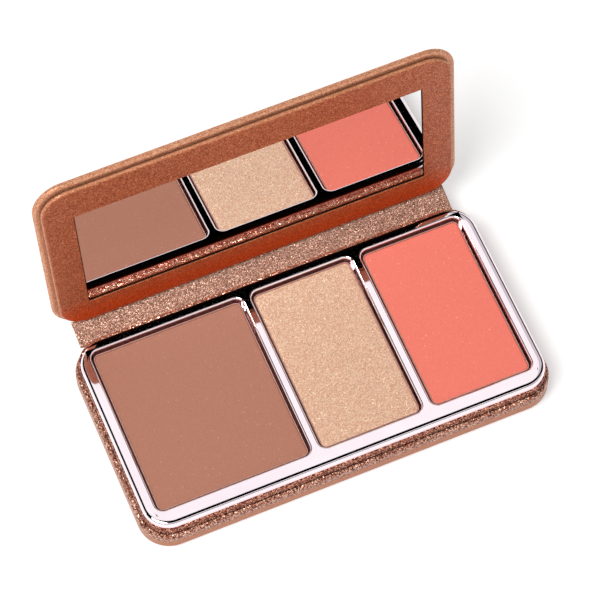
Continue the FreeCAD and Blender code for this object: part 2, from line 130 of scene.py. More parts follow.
class NodeTree:
    """A tree of shader nodes, with short ways to add and join them."""

    def __init__(self, tree: bpy.types.NodeTree) -> None:
        """Take over a tree and empty it."""
        self.tree = tree
        self.tree.nodes.clear()

    def add(self, kind: str, **settings: object) -> bpy.types.Node:
        """Add a node.

        Args:
            kind: Blender's name of the node's type.
            settings: Properties to set on the node.

        Returns:
            The new node.
        """
        node = self.tree.nodes.new(kind)
        for key, value in settings.items():
            setattr(node, key, value)
        return node

    def join(self, source: Socket, target: Socket) -> None:
        """Link an output to an input."""
        self.tree.links.new(source, target)

    def combine(self, rule: Rule, first: Socket, second: Union[Socket, float]) -> Socket:
        """Work out one value from two.

        Args:
            rule: How the two are combined.
            first: The first value.
            second: The second value, which may be a plain number.

        Returns:
            The result's socket.
        """
        node = self.add("ShaderNodeMath", operation=rule.value)
        self.join(first, node.inputs[0])
        if isinstance(second, float):
            node.inputs[1].default_value = second
        else:
            self.join(second, node.inputs[1])
        return node.outputs[0]

    def seen_rays(self) -> Socket:
        """Give 1 for rays of the camera, of gloss and of glass, and 0 for light that falls on things.

        Returns:
            The socket of that value.
        """
        path = self.add("ShaderNodeLightPath")
        kinds = ("Camera", "Glossy", "Transmission")
        camera, gloss, glass = (path.outputs[f"Is {kind} Ray"] for kind in kinds)
        return self.combine(Rule.LARGER, self.combine(Rule.LARGER, camera, gloss), glass)


class NodeSheet(NodeTree):
    """The node tree of a material, which reads the piece's own coordinates."""

    def __init__(self, name: str) -> None:
        """Start a material with its output and its main shader.

        Args:
            name: Name of the material.
        """
        self.material = bpy.data.materials.new(name)
        self.material.use_nodes = True
        super().__init__(self.material.node_tree)
        self.output = self.add("ShaderNodeOutputMaterial")
        self.shader = self.add("ShaderNodeBsdfPrincipled")
        self.join(self.shader.outputs["BSDF"], self.output.inputs["Surface"])

    def place(self) -> Socket:
        """Give the socket of the piece's own coordinates, in metres."""
        return self.add("ShaderNodeTexCoord").outputs["Object"]

    def noise(self, size: float, detail: float = 2.0) -> Socket:
        """Add soft noise on the piece's own coordinates.

        Args:
            size: Size of one feature in metres.
            detail: Octaves of finer noise.

        Returns:
            The noise's socket, from 0 to 1.
        """
        node = self.add("ShaderNodeTexNoise")
        node.inputs["Scale"].default_value = 1.0 / size
        node.inputs["Detail"].default_value = detail
        self.join(self.place(), node.inputs["Vector"])
        return node.outputs["Fac"]

    def cells(self, size: float) -> bpy.types.Node:
        """Add random cells on the piece's own coordinates.

        Args:
            size: Size of one cell in metres.

        Returns:
            The cell texture node.
        """
        node = self.add("ShaderNodeTexVoronoi")
        node.inputs["Scale"].default_value = 1.0 / size
        self.join(self.place(), node.inputs["Vector"])
        return node

    def chance(self, cells: bpy.types.Node) -> Socket:
        """Give each cell a random value that its tilt does not share.

        Args:
            cells: The cell texture node.

        Returns:
            The value's socket, from 0 to 1.
        """
        node = self.add("ShaderNodeTexWhiteNoise")
        self.join(cells.outputs["Position"], node.inputs["Vector"])
        return node.outputs["Value"]

    def axis(self, axis: Axis) -> Socket:
        """Read one of the piece's own coordinates.

        Args:
            axis: Which one.

        Returns:
            The coordinate's socket, in metres.
        """
        node = self.add("ShaderNodeSeparateXYZ")
        self.join(self.place(), node.inputs[0])
        return node.outputs[axis.value]

    def along(self, direction: Triple) -> Socket:
        """Measure the piece's own coordinates along a direction.

        Args:
            direction: The direction, of length 1.

        Returns:
            The measure's socket, in metres.
        """
        node = self.add("ShaderNodeVectorMath", operation="DOT_PRODUCT")
        node.inputs[1].default_value = direction
        self.join(self.place(), node.inputs[0])
        return node.outputs["Value"]

    def axis_away(self, axis: Axis, middle: float) -> Socket:
        """Measure how far one of the piece's own coordinates lies from a middle, on either side.

        Args:
            axis: Which coordinate.
            middle: The middle, in metres.

        Returns:
            The distance's socket, in metres.
        """
        size = self.add("ShaderNodeMath", operation="ABSOLUTE")
        self.join(self.combine(Rule.MINUS, self.axis(axis), middle), size.inputs[0])
        return size.outputs[0]

    def outside(self, half: Pair, height: float, edge: Pair) -> Socket:
        """Tell the inside of a window in the lid from its outside.

        The value is the larger of two steps: one on the distance across, one on the distance from the height.

        Args:
            half: Half the window's width and half its height, in metres.
            height: Height of the window's middle at rest, in metres.
            edge: Where the steps start and end, outwards from the window's edge, in metres.

        Returns:
            The socket of a value that is 0 inside and 1 outside.
        """
        sides = ((Axis.ACROSS, 0.0, half[0]), (Axis.UP, height, half[1]))
        across, up = (self.step(self.axis_away(axis, middle), (reach + edge[0], reach + edge[1]))
                      for axis, middle, reach in sides)
        return self.combine(Rule.LARGER, across, up)

    def spread(self, source: Socket, low: float, high: float, window: Pair = (0.0, 1.0)) -> Socket:
        """Map a value's window to a range.

        Args:
            source: The value.
            low: What the window's start becomes.
            high: What the window's end becomes.
            window: Start and end of the values that are mapped.

        Returns:
            The mapped value's socket.
        """
        node = self.add("ShaderNodeMapRange")
        node.inputs["From Min"].default_value = window[0]
        node.inputs["From Max"].default_value = window[1]
        node.inputs["To Min"].default_value = low
        node.inputs["To Max"].default_value = high
        self.join(source, node.inputs["Value"])
        return node.outputs["Result"]

    def step(self, source: Socket, window: Pair) -> Socket:
        """Give 0 before a value's window and 1 after it, with an even climb between."""
        return self.spread(source, 0.0, 1.0, window)

    def ramp(self, source: Socket, stops: Sequence[Tuple[float, Colour]]) -> Socket:
        """Turn a value into a colour.

        Args:
            source: The value.
            stops: Positions from 0 to 1 with their colours, two or more.

        Returns:
            The colour's socket.
        """
        node = self.add("ShaderNodeValToRGB")
        bar = node.color_ramp
        ready = len(bar.elements)
        for index, (position, colour) in enumerate(stops):
            stop = bar.elements[index] if index < ready else bar.elements.new(position)
            stop.position = position
            stop.color = (*colour, 1.0)
        self.join(source, node.inputs["Fac"])
        return node.outputs["Color"]

    def drift(self, source: Socket, tones: Tones, span: Pair = NOISE_SPAN) -> Socket:
        """Drift from one tone to another over a span of soft noise."""
        return self.ramp(source, tuple(zip(span, tones)))

    def blend(self, share: Socket, first: Socket, second: Socket) -> Socket:
        """Blend two colours.

        Args:
            share: Share of the second colour.
            first: The first colour.
            second: The second colour.

        Returns:
            The blended colour's socket.
        """
        node = self.add("ShaderNodeMix", data_type="RGBA")
        self.join(share, node.inputs["Factor"])
        self.join(first, node.inputs["A"])
        self.join(second, node.inputs["B"])
        return node.outputs["Result"]

    def bump(self, height: Socket, depth: float, normal: Optional[Socket] = None) -> Socket:
        """Raise the surface by a height.

        Args:
            height: The height from 0 to 1.
            depth: The height's full size in metres.
            normal: The normal to start from.

        Returns:
            The bumped normal's socket.
        """
        node = self.add("ShaderNodeBump")
        node.inputs["Distance"].default_value = depth
        self.join(height, node.inputs["Height"])
        if normal is not None:
            self.join(normal, node.inputs["Normal"])
        return node.outputs["Normal"]

    def flake_normal(self, cells: bpy.types.Node, tilt: Socket) -> Socket:
        """Tilt the surface's normal at random in each cell.

        The normal becomes the surface normal plus the cell's random colour, centred on 0 and times tilt.

        Args:
            cells: The cell texture node.
            tilt: Size of the tilt.

        Returns:
            The tilted normal's socket.
        """
        centred = self.add("ShaderNodeVectorMath", operation="SUBTRACT")
        centred.inputs[1].default_value = (0.5, 0.5, 0.5)
        self.join(cells.outputs["Color"], centred.inputs[0])
        scaled = self.add("ShaderNodeVectorMath", operation="SCALE")
        self.join(tilt, scaled.inputs["Scale"])
        self.join(centred.outputs["Vector"], scaled.inputs[0])
        total = self.add("ShaderNodeVectorMath", operation="ADD")
        self.join(self.add("ShaderNodeNewGeometry").outputs["Normal"], total.inputs[0])
        self.join(scaled.outputs["Vector"], total.inputs[1])
        unit = self.add("ShaderNodeVectorMath", operation="NORMALIZE")
        self.join(total.outputs["Vector"], unit.inputs[0])
        return unit.outputs["Vector"]

    def set(self, **values: Union[float, Sequence[float]]) -> None:
        """Set plain values on the shader's own sockets, with _ for a space in a socket's name."""
        for key, value in values.items():
            self.shader.inputs[key.replace("_", " ")].default_value = value

    def feed(self, **sources: Socket) -> None:
        """Join sources to the shader's own sockets, with _ for a space in a socket's name."""
        for key, source in sources.items():
            self.join(source, self.shader.inputs[key.replace("_", " ")])


@dataclass(frozen=True)
class SkinTones:
    """Tones of a skin, from the pits between its flakes to its brightest flakes."""

    pit: Colour
    dye: Colour
    bright: Colour

    def paint(self, sheet: NodeSheet, chance: Socket) -> Socket:
        """Colour each flake by its chance."""
        return sheet.ramp(chance, ((0.0, self.pit), (0.5, self.dye), (1.0, self.bright)))


@dataclass(frozen=True, kw_only=True)
class FlakeSkin(ABC):
    """Bookbinding skin, orange brown, under a coat of fine bright flakes."""

    name: str
    tones: SkinTones
    flake: float
    metal: float
    roughness: Pair
    grain: float = 0.5 * MM
    grain_depth: float = 0.03 * MM

    @abstractmethod
    def lean(self, sheet: NodeSheet, chance: Socket) -> Socket:
        """Give the flakes' tilt."""

    def tone(self, sheet: NodeSheet, chance: Socket) -> Socket:
        """Colour each flake by its chance."""
        return self.tones.paint(sheet, chance)

    def make(self) -> bpy.types.Material:
        """Build the material: each random cell is a flake with its own tilt, tone and gloss.

        Returns:
            The material.
        """
        sheet = NodeSheet(self.name)
        cells = sheet.cells(self.flake)
        chance = sheet.chance(cells)
        tilted = sheet.flake_normal(cells, self.lean(sheet, chance))
        sheet.feed(Base_Color=self.tone(sheet, chance), Roughness=sheet.spread(chance, *self.roughness),
                   Normal=sheet.bump(sheet.noise(self.grain), self.grain_depth, tilted))
        sheet.set(Metallic=self.metal)
        return sheet.material


@dataclass(frozen=True, kw_only=True)
class CoverSkin(FlakeSkin):
    """Outer skin of spine and lid, with flakes so fine and flat that it looks smooth."""

    tones: SkinTones = SkinTones(linear(180, 108, 74), linear(216, 146, 108), linear(240, 184, 148))
    flake: float = 0.24 * MM
    metal: float = 0.4
    roughness: Pair = (0.46, 0.36)
    tilt: Pair = (0.06, 0.12)

    def lean(self, sheet: NodeSheet, chance: Socket) -> Socket:
        """Give the flakes' tilt, which is small and goes by chance."""
        return sheet.spread(chance, *self.tilt)


@dataclass(frozen=True, kw_only=True)
class GlitterSkin(FlakeSkin):
    """Skin that sparkles. Below its rise, a span of heights at rest, it has tones and a tilt of their own."""

    low_tones: SkinTones
    rise: Pair
    tilt: float
    low_tilt: float

    def upper(self, sheet: NodeSheet) -> Socket:
        """Give 0 below the rise and 1 above it."""
        return sheet.step(sheet.axis(Axis.UP), self.rise)

    def lean(self, sheet: NodeSheet, chance: Socket) -> Socket:
        """Give the flakes' tilt, with the low tilt below the rise."""
        return sheet.spread(self.upper(sheet), self.low_tilt, self.tilt)

    def tone(self, sheet: NodeSheet, chance: Socket) -> Socket:
        """Colour each flake by its chance, in low tones below the rise."""
        low = self.low_tones.paint(sheet, chance)
        return sheet.blend(self.upper(sheet), low, super().tone(sheet, chance))


@dataclass(frozen=True, kw_only=True)
class TierSkin(GlitterSkin):
    """Glitter skin of the ring under the tray, paler behind the tray with painted light, and calmer there in
    its tilt.
    """

    # The back tones paint the light that the mirror throws back on the ring behind the tray.
    back_light_tones: SkinTones = SkinTones(linear(190, 112, 80), linear(246, 172, 138), linear(255, 226, 204))
    back: Pair = (29.4 * MM, 29.6 * MM)
    back_tilt: float = 0.48

    def behind(self, sheet: NodeSheet) -> Socket:
        """Give 0 as far as the tray's back and 1 behind it."""
        return sheet.step(sheet.axis(Axis.BACK), self.back)

    def lean(self, sheet: NodeSheet, chance: Socket) -> Socket:
        """Give the flakes' tilt, with a smaller one behind the tray."""
        calm = sheet.spread(self.behind(sheet), self.tilt, self.back_tilt)
        return sheet.combine(Rule.SMALLER, super().lean(sheet, chance), calm)

    def tone(self, sheet: NodeSheet, chance: Socket) -> Socket:
        """Colour each flake by its chance, in pale tones behind the tray that paint the light the mirror
        throws back on it.
        """
        pale = self.back_light_tones.paint(sheet, chance)
        return sheet.blend(self.behind(sheet), super().tone(sheet, chance), pale)


@dataclass(frozen=True, kw_only=True)
class FrameSkin(GlitterSkin):
    """Glitter skin of the mirror frame, with a painted highlight on its rounded edges and painted shade
    beside the cover and beside the glass.

    The groove, the lip and the face are spans of depth along the way that the frame faces at rest.
    """

    # The first tones below paint shade in the groove beside the cover and beside the glass; the second paint
    # a highlight on the rounded edges.
    painted_shade_tones: SkinTones = SkinTones(linear(30, 9, 3), linear(46, 16, 7), linear(74, 34, 18))
    edge_highlight_tones: SkinTones = SkinTones(linear(176, 104, 66), linear(206, 134, 94), linear(228, 166, 128))
    facing: Triple = (0.0, -0.99357, 0.11320)
    groove: Pair = (-37.45 * MM, -36.75 * MM)
    lip: Pair = (-36.45 * MM, -36.20 * MM)
    face: Pair = (-36.30 * MM, -36.05 * MM)
    opening_half: Pair = (54 * MM, 24 * MM)
    opening_height: float = 38.8 * MM
    opening_edge: Pair = (0.0, 1 * MM)

    def tone(self, sheet: NodeSheet, chance: Socket) -> Socket:
        """Colour each flake by its chance, with painted shade in the groove and beside the glass, and a
        painted highlight on the rounded edges.

        Args:
            sheet: The material's nodes.
            chance: Each flake's random value.

        Returns:
            The colour's socket.
        """
        groove, lip, face = (sheet.step(sheet.along(self.facing), span)
                             for span in (self.groove, self.lip, self.face))
        outside = sheet.outside(self.opening_half, self.opening_height, self.opening_edge)
        shown = sheet.combine(Rule.SMALLER, groove, sheet.combine(Rule.LARGER, outside, lip))
        # Painted shade for the groove and beside the glass, and a painted highlight for the rounded edges.
        painted_shade, painted_highlight = (tones.paint(sheet, chance) for tones in (self.painted_shade_tones, self.edge_highlight_tones))
        return sheet.blend(face, sheet.blend(shown, painted_shade, painted_highlight), super().tone(sheet, chance))


@dataclass(frozen=True)
class RosePlating:
    """Vacuum-metallised plastic with a faint pink tone, rosier down the side, with painted shade on the back
    edge.
    """

    name: str
    top: Tones = (linear(255, 245, 250), linear(253, 238, 245))
    side: Tones = (linear(245, 215, 220), linear(240, 208, 214))
    side_rise: Pair = (10.6 * MM, 11.5 * MM)
    # Near-black tones painted on the back edge as shade between the tray and the spine.
    back_shade: Tones = (linear(20, 10, 8), linear(30, 16, 13))
    back_shade_from: Pair = (28.15 * MM, 28.35 * MM)
    back_shade_rise: Pair = (11.25 * MM, 11.4 * MM)
    roughness: Pair = (0.03, 0.045)
    patch: float = 9 * MM
    ripple: float = 7 * MM
    ripple_depth: float = 0.004 * MM

    def make(self) -> bpy.types.Material:
        """Build the material: a mirror metal with a slow drift of tone and a moulder's faint ripple.

        Returns:
            The material.
        """
        sheet = NodeSheet(self.name)
        patches = sheet.noise(self.patch)
        side, top, back_shade = (sheet.drift(patches, tones) for tones in (self.side, self.top, self.back_shade))
        above = sheet.step(sheet.axis(Axis.UP), self.side_rise)
        # The mask for the painted shade on the top's back edge.
        behind = sheet.combine(Rule.SMALLER, sheet.step(sheet.axis(Axis.BACK), self.back_shade_from),
                               sheet.step(sheet.axis(Axis.UP), self.back_shade_rise))
        sheet.feed(Base_Color=sheet.blend(behind, sheet.blend(above, side, top), back_shade),
                   Roughness=sheet.spread(patches, *self.roughness),
                   Normal=sheet.bump(sheet.noise(self.ripple, detail=0.0), self.ripple_depth))
        sheet.set(Metallic=1.0)
        return sheet.material


@dataclass(frozen=True)
class PressedPowder:
    """Pressed powder: matte, or with a shimmer of fine flakes."""

    name: str
    deep: Colour
    pale: Colour
    fleck: Colour
    fleck_from: float = 0.996
    speck: float = 0.25 * MM
    roughness: float = 0.85
    shimmer: float = 0.0
    tilt: float = 0.1
    grain_depth: float = 0.012 * MM

    def make(self) -> bpy.types.Material:
        """Build the material: specks from deep to pale with rare flecks, tilted at random.

        Returns:
            The material.
        """
        sheet = NodeSheet(self.name)
        cells = sheet.cells(self.speck)
        chance = sheet.chance(cells)
        tilted = sheet.flake_normal(cells, sheet.spread(chance, self.tilt / 2, self.tilt))
        stops = ((0.0, self.deep), (self.fleck_from, self.pale), (1.0, self.fleck))
        sheet.feed(Base_Color=sheet.ramp(chance, stops),
                   Normal=sheet.bump(sheet.noise(self.speck, detail=3.0), self.grain_depth, tilted))
        sheet.set(Roughness=self.roughness, Metallic=self.shimmer)
        return sheet.material


@dataclass(frozen=True)
class BrightMetal:
    """Plain bright metal with fine drawing lines."""

    name: str
    tones: Tones
    metal: float = 1.0
    roughness: Pair = (0.16, 0.30)
    streak: float = 0.6 * MM

    def make(self) -> bpy.types.Material:
        """Build the material: metal whose tone and gloss vary in fine streaks.

        Returns:
            The material.
        """
        sheet = NodeSheet(self.name)
        streaks = sheet.noise(self.streak, detail=4.0)
        sheet.feed(Base_Color=sheet.drift(streaks, self.tones),
                   Roughness=sheet.spread(streaks, *self.roughness))
        sheet.set(Metallic=self.metal)
        return sheet.material


@dataclass(frozen=True)
class MirrorFace:
    """Silvered glass with a line of painted shade where it meets its frame's window."""

    name: str
    glass: Tones = (linear(244, 245, 245), linear(240, 242, 242))
    # Tones of the painted shade along the window's edge.
    line: Tones = (linear(52, 30, 24), linear(64, 38, 30))
    line_edge: Pair = (-0.42 * MM, -0.28 * MM)
    window_half: Pair = (50.9 * MM, 20.245 * MM)
    window_height: float = 39.055 * MM
    roughness: Pair = (0.0, 0.006)
    haze: float = 20 * MM

    def make(self) -> bpy.types.Material:
        """Build the material: a clean mirror with the faintest haze, and painted shade along the window's
        edge.

        Returns:
            The material.
        """
        sheet = NodeSheet(self.name)
        haze = sheet.noise(self.haze)
        # The mask for the painted shade along the window's edge.
        edge = sheet.outside(self.window_half, self.window_height, self.line_edge)
        sheet.feed(Base_Color=sheet.blend(edge, sheet.drift(haze, self.glass), sheet.drift(haze, self.line)),
                   Roughness=sheet.spread(haze, *self.roughness))
        sheet.set(Metallic=1.0)
        return sheet.material


@dataclass(frozen=True)
class PlainStock:
    """Board or adhesive film inside the palette: a dull fibrous stock."""

    name: str
    tones: Tones
    span: Pair = (0.25, 0.75)
    fibre: float = 0.5 * MM
    fibre_depth: float = 0.05 * MM
    roughness: float = 0.9

    def make(self) -> bpy.types.Material:
        """Build the material: two tones in fine fibres.

        Returns:
            The material.
        """
        sheet = NodeSheet(self.name)
        fibres = sheet.noise(self.fibre, detail=5.0)
        sheet.feed(Base_Color=sheet.drift(fibres, self.tones, self.span),
                   Normal=sheet.bump(fibres, self.fibre_depth))
        sheet.set(Roughness=self.roughness)
        return sheet.material


def dress(material: bpy.types.Material, *nodes: str) -> None:
    """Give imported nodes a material.

    Args:
        material: The material.
        nodes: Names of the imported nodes.
    """
    for name in nodes:
        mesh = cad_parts[name].data
        mesh.materials.clear()
        mesh.materials.append(material)
        log.info("dressed %s with %s", name, material.name)


@dataclass(frozen=True)
class Outline:
    """Rectangle in plan, in millimetres, with round corners or sharp ones."""

    centre: Pair
    half: Pair
    corner: float
    steps: int = 17

    def grown(self, by: float) -> "Outline":
        """Give the outline that runs outside this one by a distance."""
        return Outline(self.centre, (self.half[0] + by, self.half[1] + by), self.corner + by)

    def low(self) -> Pair:
        """Give the sharp rectangle's front left corner."""
        return self.centre[0] - self.half[0], self.centre[1] - self.half[1]

    def high(self) -> Pair:
        """Give the sharp rectangle's back right corner."""
        return self.centre[0] + self.half[0], self.centre[1] + self.half[1]

    def signs(self) -> np.ndarray:
        """Tell on which side of the centre each point of a walk lies, across and back."""
        return np.repeat(np.array([(1, 1), (-1, 1), (-1, -1), (1, -1)]), self.steps, axis=0)

    def outward(self) -> np.ndarray:
        """Work out the outward direction at each point of a walk, which turns by a quarter at each corner.

        Returns:
            The directions, of length 1, in the plan.
        """
        quarter = np.linspace(0.0, math.pi / 2, self.steps)
        angles = (np.arange(4)[:, None] * math.pi / 2 + quarter[None, :]).ravel()
        return np.stack((np.cos(angles), np.sin(angles)), axis=1)

    def trace(self) -> np.ndarray:
        """Walk round the outline.

        A point is the centre of its corner's circle plus the corner's radius times the outward direction.

        Returns:
            The points, in the plan.
        """
        inner = np.array(self.half) - self.corner
        return np.array(self.centre) + self.signs() * inner + self.corner * self.outward()

    def sharp_trace(self, reach: float) -> np.ndarray:
        """Walk round the sharp rectangle in step with a rounded one.

        Near each corner the walk follows one side for the reach, meets the corner half way and leaves on
        the next side, which is the quarter circle's box norm.

        Args:
            reach: Length of side on either hand of a corner, in millimetres.

        Returns:
            The points, in the plan.
        """
        outward = self.outward()
        box_norm = outward / np.abs(outward).max(axis=1, keepdims=True)
        return np.array(self.centre) + self.signs() * (np.array(self.half) - reach) + box_norm * reach


@dataclass
class Patch:
    """One grid of a surface with its outward normals, in millimetres."""

    points: np.ndarray
    normals: np.ndarray
    closed: bool = True

    def faces(self, first: int) -> np.ndarray:
        """Number the grid's faces so that they face the way of its normals.

        Args:
            first: Number of the grid's first point in the mesh.

        Returns:
            One row of four point numbers for each face.
        """
        rows, columns = self.points.shape[:2]
        number = first + np.arange(rows * columns).reshape(rows, columns)
        beside = np.roll(number, -1, axis=1)
        span = columns if self.closed else columns - 1
        corners = (number[:-1, :span], beside[:-1, :span], beside[1:, :span], number[1:, :span])
        quads = np.stack(corners, axis=-1).reshape(-1, 4)
        across = np.roll(self.points, -1, axis=1)[:-1, :span] - self.points[:-1, :span]
        along = self.points[1:, :span] - self.points[:-1, :span]
        facing = (np.cross(across, along) * self.normals[:-1, :span]).sum()
        return quads if facing > 0 else quads[:, ::-1]


def swept(outline: Outline, profile: np.ndarray) -> Patch:
    """Carry a profile round an outline.

    A point is the outline's point plus the profile's offset times the outward direction, at the profile's
    height; its normal turns in the same way.

    Args:
        outline: The path.
        profile: Rows of offset, height, and the normal's offset and height parts.

    Returns:
        The surface.
    """
    path, outward = outline.trace(), outline.outward()
    offset, height, normal_out, normal_up = (column[:, None] for column in profile.T)
    plan = path[None] + offset[..., None] * outward[None]
    points = np.dstack((plan, np.broadcast_to(height, plan.shape[:2])))
    lean = normal_out[..., None] * outward[None]
    normals = np.dstack((lean, np.broadcast_to(normal_up, plan.shape[:2])))
    return Patch(points, normals)


def level_ring(outer: np.ndarray, inner: np.ndarray, height: float) -> Patch:
    """Fill the level band between two walks that keep step, by a straight blend from one to the other.

    Args:
        outer: Points of the outer walk, in the plan.
        inner: Points of the inner walk, in the plan.
        height: Height of the band.

    Returns:
        The surface.
    """
    plan = np.stack((outer, inner))
    points = np.dstack((plan, np.full(plan.shape[:2], height)))
    normals = np.zeros_like(points)
    normals[..., 2] = 1.0
    return Patch(points, normals)


@dataclass(frozen=True)
class Swell:
    """Faint swell of a pressed face: a sum of slow sines that fades to nothing at the face's edge.

    Each wave has its turning across and back in radians per millimetre, its start and its share.
    """

    size: float = 0.0
    waves: Tuple[Tuple[float, float, float, float], ...] = (
        (0.61, 0.4, 0.0, 1.0), (0.37, -0.83, 1.0, 1.0), (1.3, 1.1, 0.0, 0.6))

    def height(self, x: np.ndarray, y: np.ndarray, fade: np.ndarray) -> np.ndarray:
        """Work out the swell at each point.

        Args:
            x: Places across, in millimetres.
            y: Places back, in millimetres.
            fade: Share of the swell that is left, from 0 to 1.

        Returns:
            The heights, in millimetres.
        """
        wave = sum(share * np.sin(across * x + back * y + start) for across, back, start, share in self.waves)
        return self.size * fade * wave


def level_sheet(low: Pair, high: Pair, height: float, counts: Tuple[int, int] = (2, 2),
                swell: Swell = Swell()) -> Patch:
    """Fill a rectangle with a grid over its two sides.

    A point is the corner plus a share of each side, at the height plus the swell. The swell fades as the
    product of both shares and both rests, scaled to 1 in the middle.

    Args:
        low: Front left corner, in the plan.
        high: Back right corner, in the plan.
        height: Height of the sheet.
        counts: Points along each side.
        swell: The swell.

    Returns:
        The surface.
    """
    across, along = np.meshgrid(np.linspace(0, 1, counts[0]), np.linspace(0, 1, counts[1]))
    x = low[0] + (high[0] - low[0]) * across
    y = low[1] + (high[1] - low[1]) * along
    fade = np.clip(16 * across * (1 - across) * along * (1 - along), 0, 1)
    points = np.dstack((x, y, height + swell.height(x, y, fade)))
    normals = np.cross(np.gradient(points, axis=1), np.gradient(points, axis=0))
    normals /= np.linalg.norm(normals, axis=2, keepdims=True)
    return Patch(points, normals, closed=False)


def arc_profile(centre: Pair, radius: float, start: float, end: float, steps: int,
                hollow: bool = False) -> np.ndarray:
    """Draw a quarter or less of a circle as a profile.

    A point is the centre plus the radius times the ray at its angle, and its normal is that ray.

    Args:
        centre: Offset and height of the circle's centre.
        radius: The circle's radius.
        start: First angle in degrees, from the outward direction upwards.
        end: Last angle in degrees.
        steps: Number of points.
        hollow: Whether the surface faces the circle's centre.

    Returns:
        Rows of offset, height, and the normal's two parts.
    """
    angle = np.radians(np.linspace(start, end, steps))
    ray = np.stack((np.cos(angle), np.sin(angle)), axis=1)
    return np.hstack((np.array(centre) + radius * ray, -ray if hollow else ray))


def make_piece(name: str, patches: Sequence[Patch], material: bpy.types.Material) -> bpy.types.Object:
    """Join surfaces into one mesh with smooth, exact normals.

    Args:
        name: Name of the piece.
        patches: The surfaces, in millimetres.
        material: Its material.

    Returns:
        The new object, at the origin.
    """
    starts = np.cumsum([0] + [patch.points.shape[0] * patch.points.shape[1] for patch in patches])
    points = np.concatenate([patch.points.reshape(-1, 3) for patch in patches]) * MM
    normals = np.concatenate([patch.normals.reshape(-1, 3) for patch in patches])
    faces = np.concatenate([patch.faces(int(start)) for patch, start in zip(patches, starts)])
    mesh = bpy.data.meshes.new(name)
    mesh.from_pydata(points.tolist(), [], faces.tolist())
    mesh.polygons.foreach_set("use_smooth", np.ones(len(faces), dtype=bool))
    mesh.normals_split_custom_set_from_vertices(normals.tolist())
    mesh.materials.append(material)
    piece = bpy.data.objects.new(name, mesh)
    bpy.context.scene.collection.objects.link(piece)
    log.info("built %s: %d points, %d faces", name, len(points), len(faces))
    return piece


@dataclass
class Tray:
    """Plated moulding: a rolled outer rim, a slightly crowned top and three wells with rolled lips."""

    outer: Outline = Outline(centre=(0.0, -0.505), half=(59.75, 30.125), corner=7.7)
    skirt: float = 10.1
    top: float = 12.0
    rim_round: float = 1.2
    rim_steps: int = 25
    crown_angle: float = 3.0
    crown_width: float = 0.9
    crown_steps: int = 9
    return_width: float = 0.9
    lip_round: float = 0.6
    lip_steps: int = 15
    well_floor: float = 7.1
    floor_round: float = 0.3
    floor_steps: int = 7
    floor_width: float = 2.0
    cell_margin: float = 0.2
    corner_reach: float = 3.0
    well_spans: Tuple[Pair, ...] = ((-33.275, 22.725), (7.39, 15.31), (40.715, 15.285))
    well_middle: float = 0.6
    well_half_depth: float = 26.08
    well_corner: float = 2.4

    def wells(self) -> List[Outline]:
        """Give the outlines of the wells, from left to right."""
        return [Outline((middle, self.well_middle), (half, self.well_half_depth), self.well_corner)
                for middle, half in self.well_spans]

    def rim_profile(self) -> np.ndarray:
        """Draw the side, the rolled edge and the crown, as one curve whose slope never jumps.

        The side is straight. The roll is a circle that stops short of level by the crown's angle, and the
        crown is a wide circle that has the roll's slope there and ends level.

        Returns:
            Rows of offset, height, and the normal's two parts.
        """
        last = 90.0 - self.crown_angle
        slope = math.radians(last)
        crown_radius = self.crown_width / math.cos(slope)
        rise = crown_radius * (1.0 - math.sin(slope))
        roll_height = self.top - rise - self.rim_round * math.sin(slope)
        side = np.array([(0.0, self.skirt, 1.0, 0.0)])
        roll = arc_profile((-self.rim_round, roll_height), self.rim_round, 0.0, last, self.rim_steps)
        shift = self.rim_round - crown_radius
        centre = (-self.rim_round + shift * math.cos(slope), roll_height + shift * math.sin(slope))
        crown = arc_profile(centre, crown_radius, last, 90.0, self.crown_steps)
        return np.vstack((side, roll, crown[1:]))

    def well_profile(self) -> np.ndarray:
        """Draw the lip, the wall and the edge of the floor.

        The lip is a quarter circle from level to upright, the wall is straight down to a hollow quarter
        circle, and the floor runs inwards from there.

        Returns:
            Rows of offset, height, and the normal's two parts.
        """
        lip_centre = (self.lip_round, self.top - self.lip_round)
        lip = arc_profile(lip_centre, self.lip_round, 90.0, 180.0, self.lip_steps)
        foot_centre = (-self.floor_round, self.well_floor + self.floor_round)
        foot = arc_profile(foot_centre, self.floor_round, 0.0, -90.0, self.floor_steps, hollow=True)
        floor = np.array([(-self.floor_width, self.well_floor, 0.0, 1.0)])
        return np.vstack((lip, foot, floor))

    def patches(self) -> List[Patch]:
        """Make every surface of the tray.

        Each well stands in a sharp rectangle, its cell. Level bands join the cells to the lips, to each other
        and to the rim.

        Returns:
            The rim, the wells, the dividers and the band inside the rim.
        """
        rim = self.rim_profile()
        under = np.array([(-self.return_width, self.skirt, 0.0, -1.0), (0.0, self.skirt, 0.0, -1.0)])
        surfaces = [swept(self.outer, rim), swept(self.outer, under)]
        wells = self.wells()
        cells = [well.grown(self.lip_round + self.cell_margin) for well in wells]
        for well, cell in zip(wells, cells):
            lip = well.trace() + self.lip_round * well.outward()
            surfaces.append(level_ring(cell.sharp_trace(self.corner_reach), lip, self.top))
            surfaces.append(swept(well, self.well_profile()))
        for before, after in zip(cells[:-1], cells[1:]):
            low, high = (before.high()[0], before.low()[1]), (after.low()[0], after.high()[1])
            surfaces.append(level_sheet(low, high, self.top))
        (left, front), (right, back) = cells[0].low(), cells[-1].high()
        block = Outline(((left + right) / 2, (front + back) / 2), ((right - left) / 2, (back - front) / 2),
                        self.outer.corner)
        crown_edge = self.outer.trace() + rim[-1, 0] * self.outer.outward()
        surfaces.append(level_ring(crown_edge, block.sharp_trace(self.corner_reach), self.top))
        return surfaces

    def build(self, finish: RosePlating) -> None:
        """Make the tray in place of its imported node.

        Args:
            finish: Its finish.
        """
        piece = make_piece("tray_moulding", self.patches(), finish.make())
        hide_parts("tray_insert")
        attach(piece, Body.BASE.value)


